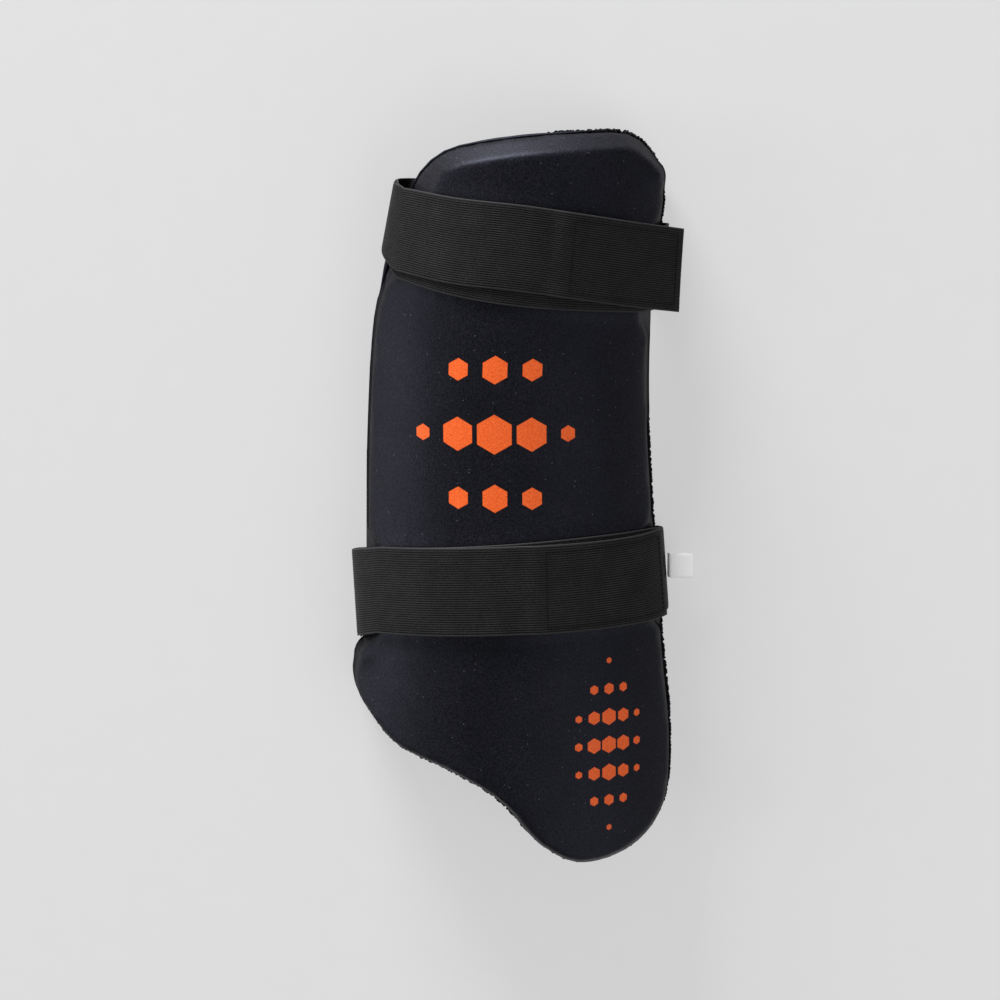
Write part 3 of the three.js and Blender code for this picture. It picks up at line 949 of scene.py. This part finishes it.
# A painted highlight: both edges of the webbing are painted a little paler.
painted_edge_highlight_mask = add_node(elastic, "MapRange", {
    "Value": from_middle.outputs[0],
    "From Min": 1 - 1.1 / half_strap, "From Max": 1 - 0.6 / half_strap, "To Min": 0.0, "To Max": 0.9,
})
elastic_colour = add_node(elastic, "Mix", {
    0: painted_edge_highlight_mask.outputs[0], 6: wear_and_painted_valley_shade.outputs[0], 7: linear("#2a2a2b"),
}, data_type="RGBA")
elastic.node_tree.links.new(elastic_colour.outputs[2], elastic_shader.inputs["Base Color"])
elastic_bump = add_node(elastic, "Bump", {
    "Height": picks.outputs["Distance"], "Strength": 0.35, "Distance": 0.2 * MM,
})
elastic.node_tree.links.new(elastic_bump.outputs[0], elastic_shader.inputs["Normal"])

for name, strap in (("upper_strap", UPPER), ("lower_strap", LOWER)):
    band = strap_band(name + "_webbing", strap, strap_stations(strap), rib_columns(strap["width"]))
    finish_piece(band, elastic, "elastic", name)

# Hook patches.
# Nylon hook tape, sewn under the end of each strap, which grips the layer below.
PATCH_EDGE = 0.3

# Woven nylon with a field of stiff hooks 1.4 mm apart, drawn with painted shade in the pits between them and
# painted glints on their points.
hook_tape, hook_shader = new_material("nylon_hook_tape", 0.55, IOR=1.53)
hook_uv = add_node(hook_tape, "UVMap", {}, uv_map="band")
hook_map = add_node(hook_tape, "Mapping", {
    "Vector": hook_uv.outputs[0], "Scale": (half_strap / 1.4, 1 / 1.4, 1),
})
hooks = add_node(hook_tape, "TexVoronoi", {
    "Vector": hook_map.outputs[0], "Scale": 1.0, "Randomness": 0.35,
})
# Painted light: the hooks' points are painted paler, as glints, and the pits between them darker, as shade.
painted_hook_glints_and_pit_shade = add_node(hook_tape, "Mix", {
    0: hooks.outputs["Distance"], 6: linear("#2a2a2c"), 7: linear("#0d0d0e"),
}, data_type="RGBA")
hook_tape.node_tree.links.new(painted_hook_glints_and_pit_shade.outputs[2], hook_shader.inputs["Base Color"])
hook_bump = add_node(hook_tape, "Bump", {
    "Height": hooks.outputs["Distance"], "Strength": 1.0, "Distance": 0.8 * MM,
}, invert=True)
hook_tape.node_tree.links.new(hook_bump.outputs[0], hook_shader.inputs["Normal"])


def tape_columns(width, thickness):
    """A flat tape's section, with its four edges eased."""
    side = width / 2
    half = thickness / 2
    ease = PATCH_EDGE
    left = [(-side, half - ease), (-side + ease, half)]
    right = [(-across, out) for across, out in reversed(left)]
    top = left + [(lerp(-side, side, i / 8), half) for i in range(1, 8)] + right
    return top + [(across, -out) for across, out in reversed(top)]


def patch_stations(strap):
    drop = (STRAP_THICKNESS + PATCH_THICKNESS) / 2 + GAP
    rise = top_offset(strap)
    return end_stations(strap, strap["patch_turn"], 20, lambda turn: rise(turn) - drop, PATCH_MARGIN)


for name, strap in (("upper_hook_patch", UPPER), ("lower_hook_patch", LOWER)):
    columns = tape_columns(strap["width"] - 2 * PATCH_MARGIN, PATCH_THICKNESS)
    patch = strap_band(name + "_tape", strap, patch_stations(strap), columns)
    finish_piece(patch, hook_tape, "hook_tape", name)

# Stitching.
# Lockstitch in black thread: a box round each hook patch, through the strap above it, and a box on each
# strap's root, which holds it to the back panel.
STITCH = 2.4
STITCH_SHARE = 0.9
THREAD = 0.24
THREAD_RISE = 0.02
ROOT_SEAM = (ROOT_TURN - 1.5, 3)
SEAM_INSET = 3.4
END_INSET = 3.6


def stitch_line(seam, points):
    """Lay stitches of even length along a line of points."""
    lengths = np.concatenate([[0], np.cumsum([(b - a).length for a, b in zip(points, points[1:])])])
    count = max(1, round(lengths[-1] / (STITCH * MM)))
    coordinates = np.array(points)
    marks = np.linspace(0, lengths[-1], count + 1)
    knots = [Vector([np.interp(mark, lengths, coordinates[:, axis]) for axis in range(3)]) for mark in marks]
    for a, b in zip(knots, knots[1:]):
        along = b - a
        turn = along.to_track_quat("Z", "Y").to_matrix().to_4x4()
        size = Matrix.Diagonal((THREAD * MM, THREAD * MM, along.length * STITCH_SHARE / 2, 1))
        bmesh.ops.create_uvsphere(
            seam, u_segments=6, v_segments=5, radius=1, matrix=Matrix.Translation((a + b) / 2) @ turn @ size
        )


# Bonded polyester thread: dull black, a little uneven along its twist.
thread, thread_shader = new_material("bonded_thread", 0.7, IOR=1.5, Specular_IOR_Level=0.1)
thread_place = add_node(thread, "TexCoord", {})
strands = add_node(thread, "TexNoise", {
    "Vector": thread_place.outputs["Object"], "Scale": 1 / (0.5 * MM), "Detail": 2.0,
})
thread_colour = add_node(thread, "Mix", {
    0: strands.outputs[0], 6: linear("#060607"), 7: linear("#121213"),
}, data_type="RGBA")
thread.node_tree.links.new(thread_colour.outputs[2], thread_shader.inputs["Base Color"])

for name, strap in (("upper", UPPER), ("lower", LOWER)):
    seam = bmesh.new()
    over = STRAP_THICKNESS / 2 + THREAD_RISE
    side = strap["width"] / 2 - SEAM_INSET
    box_run = end_stations(strap, strap["patch_turn"] + 1, 24, top_offset(strap), END_INSET)
    stitch_line(seam, [strap_point(strap, station, -side, over) for station in box_run])
    stitch_line(seam, [strap_point(strap, station, side, over) for station in box_run])
    root_run = sweep("root", np.linspace(*ROOT_SEAM, 6), under_offset, root_lane(strap))
    stitch_line(seam, [strap_point(strap, station, -side, over) for station in root_run])
    stitch_line(seam, [strap_point(strap, station, side, over) for station in root_run])
    steps_across = np.linspace(-side, side, 12)
    for station in (box_run[0], box_run[-1], root_run[0], root_run[-1]):
        stitch_line(seam, [strap_point(strap, station, across, over) for across in steps_across])
    finish_piece(new_piece(name + "_box_stitch", seam), thread, "elastic")

# Size label.
# A white satin tape, folded double, sewn to the lower strap at the right side and bent outwards. It is blank.
LABEL_PLY = 0.42
LABEL_FOLD = 0.5
LABEL_BEND = 1.6
LABEL_SHORT = 0.4
LABEL_STEPS = 8
label_low, label_high = (in_plan(corner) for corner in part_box("size_label"))


def label_path():
    """The tape's middle line: up the strap, out to the fold, and back under itself."""
    half_ply = LABEL_PLY / 2
    foot_x = label_low.x + half_ply
    bend_x = foot_x + LABEL_BEND
    upper = label_high.z - half_ply
    bend_z = upper - LABEL_BEND
    path = [(foot_x, label_low.z), (foot_x, (label_low.z + bend_z) / 2)]
    for angle in np.linspace(math.pi, math.pi / 2, 7):
        path.append((bend_x + LABEL_BEND * math.cos(angle), bend_z + LABEL_BEND * math.sin(angle)))
    fold = LABEL_FOLD / 2
    fold_x = label_high.x - fold - half_ply
    fold_z = upper - fold
    path += [(lerp(bend_x, fold_x, share), upper) for share in (0.3, 0.6, 0.9)]
    for angle in np.linspace(math.pi / 2, -math.pi / 2, 7):
        path.append((fold_x + fold * math.cos(angle), fold_z + fold * math.sin(angle)))
    path += [(lerp(fold_x, bend_x + LABEL_SHORT, share), upper - LABEL_FOLD) for share in (0.3, 0.6, 1)]
    return path


tape = bmesh.new()
path = label_path()
ends = [tape.verts.new(in_frame(x, label_low.y, z)) for x, z in path]
edges = [tape.edges.new(pair) for pair in zip(ends, ends[1:])]
step_across = Vector((0, (label_high.y - label_low.y) * MM / LABEL_STEPS, 0))
for _ in range(LABEL_STEPS):
    grown = bmesh.ops.extrude_edge_only(tape, edges=edges)["geom"]
    edges = [part for part in grown if isinstance(part, bmesh.types.BMEdge)]
    new_verts = [part for part in grown if isinstance(part, bmesh.types.BMVert)]
    bmesh.ops.translate(tape, verts=new_verts, vec=step_across)
label_map = tape.loops.layers.uv.new("band")
for face in tape.faces:
    for corner in face.loops:
        point = in_plan(corner.vert.co)
        corner[label_map].uv = (point.x + point.z, point.y)
bmesh.ops.recalc_face_normals(tape, faces=tape.faces)
label = new_piece("size_label_tape", tape)
ply = label.modifiers.new("ply", "SOLIDIFY")
ply.thickness = LABEL_PLY * MM
ply.offset = 0
label_rounding = label.modifiers.new("rounding", "SUBSURF")
label_rounding.levels = 1
label_rounding.render_levels = 1

# Polyester satin: bright white with a soft gloss, in floats 0.5 mm wide, drawn at 0.9 mm so that they show.
satin, satin_shader = new_material("white_satin", 0.45, IOR=1.5, Sheen_Weight=0.2)
satin_uv = add_node(satin, "UVMap", {}, uv_map="band")
float_map = add_node(satin, "Mapping", {"Vector": satin_uv.outputs[0], "Scale": (1 / 2.5, 1 / 0.9, 1)})
floats = add_node(satin, "TexNoise", {"Vector": float_map.outputs[0], "Scale": 1.0, "Detail": 2.0})
satin_colour = add_node(satin, "Mix", {
    0: floats.outputs[0], 6: linear("#f2f2f4"), 7: linear("#ffffff"),
}, data_type="RGBA")
satin.node_tree.links.new(satin_colour.outputs[2], satin_shader.inputs["Base Color"])
satin_bump = add_node(satin, "Bump", {"Height": floats.outputs[0], "Strength": 0.3, "Distance": 0.15 * MM})
satin.node_tree.links.new(satin_bump.outputs[0], satin_shader.inputs["Normal"])
finish_piece(label, satin, "label", "size_label")

# Floor, light and camera.
# A pale floor of opal acrylic, lit a little from below so that shadows stay faint, under broad soft lights.
# The main one stands low behind the hip end, to the left.
FLOOR_SIZE = 12
FLOOR_GLOW = 0.46
CAMERA_TARGET = Vector((-11.5, 0.9, 30)) * MM
CAMERA_DISTANCE = 1.45
CAMERA_LEAN = math.radians(10)
FRAME_WIDTH = 0.519
SENSOR = 36

# Opal acrylic: an even pale grey with no gloss to speak of.
acrylic, acrylic_shader = new_material(
    "opal_acrylic", 0.9, Emission_Color=linear("#ffffff"), Emission_Strength=FLOOR_GLOW
)
acrylic_place = add_node(acrylic, "TexCoord", {})
cloud = add_node(acrylic, "TexNoise", {
    "Vector": acrylic_place.outputs["Object"], "Scale": 60.0, "Detail": 4.0,
})
acrylic_colour = add_node(acrylic, "Mix", {
    0: cloud.outputs[0], 6: linear("#828283"), 7: linear("#868687"),
}, data_type="RGBA")
acrylic.node_tree.links.new(acrylic_colour.outputs[2], acrylic_shader.inputs["Base Color"])
floor_grid = bmesh.new()
bmesh.ops.create_grid(floor_grid, x_segments=1, y_segments=1, size=FLOOR_SIZE / 2)
floor = new_piece("floor", floor_grid)
floor.data.materials.append(acrylic)

# Each row: name, place, size, power.
LIGHT_ROWS = [
    ("key", (-1.0, 3.0, 0.42), 1.6, 320),
    ("side", (-2.8, -0.2, 0.9), 1.6, 34),
    ("fill", (1.7, -1.6, 2.1), 3.0, 36),
]
for name, place, size, power in LIGHT_ROWS:
    lamp = bpy.data.lights.new(name, "AREA")
    lamp.shape = "DISK"
    lamp.size = size
    lamp.energy = power
    holder = bpy.data.objects.new(name, lamp)
    holder.location = place
    holder.rotation_euler = (-Vector(place)).to_track_quat("-Z", "Y").to_euler()
    bpy.context.scene.collection.objects.link(holder)

world = bpy.data.worlds.new("studio")
world.use_nodes = True
world.node_tree.nodes["Background"].inputs["Color"].default_value = linear("#f2f2f3")
world.node_tree.nodes["Background"].inputs["Strength"].default_value = 0.42
bpy.context.scene.world = world
bpy.context.scene.view_settings.view_transform = "Standard"

lens = bpy.data.cameras.new("camera")
lens.sensor_width = SENSOR
lens.lens = SENSOR * CAMERA_DISTANCE / FRAME_WIDTH
camera = bpy.data.objects.new("camera", lens)
camera.location = CAMERA_TARGET + Vector((0, math.sin(CAMERA_LEAN), math.cos(CAMERA_LEAN))) * CAMERA_DISTANCE
camera.rotation_euler = (-CAMERA_LEAN, 0, 0)
bpy.context.scene.collection.objects.link(camera)
bpy.context.scene.camera = camera
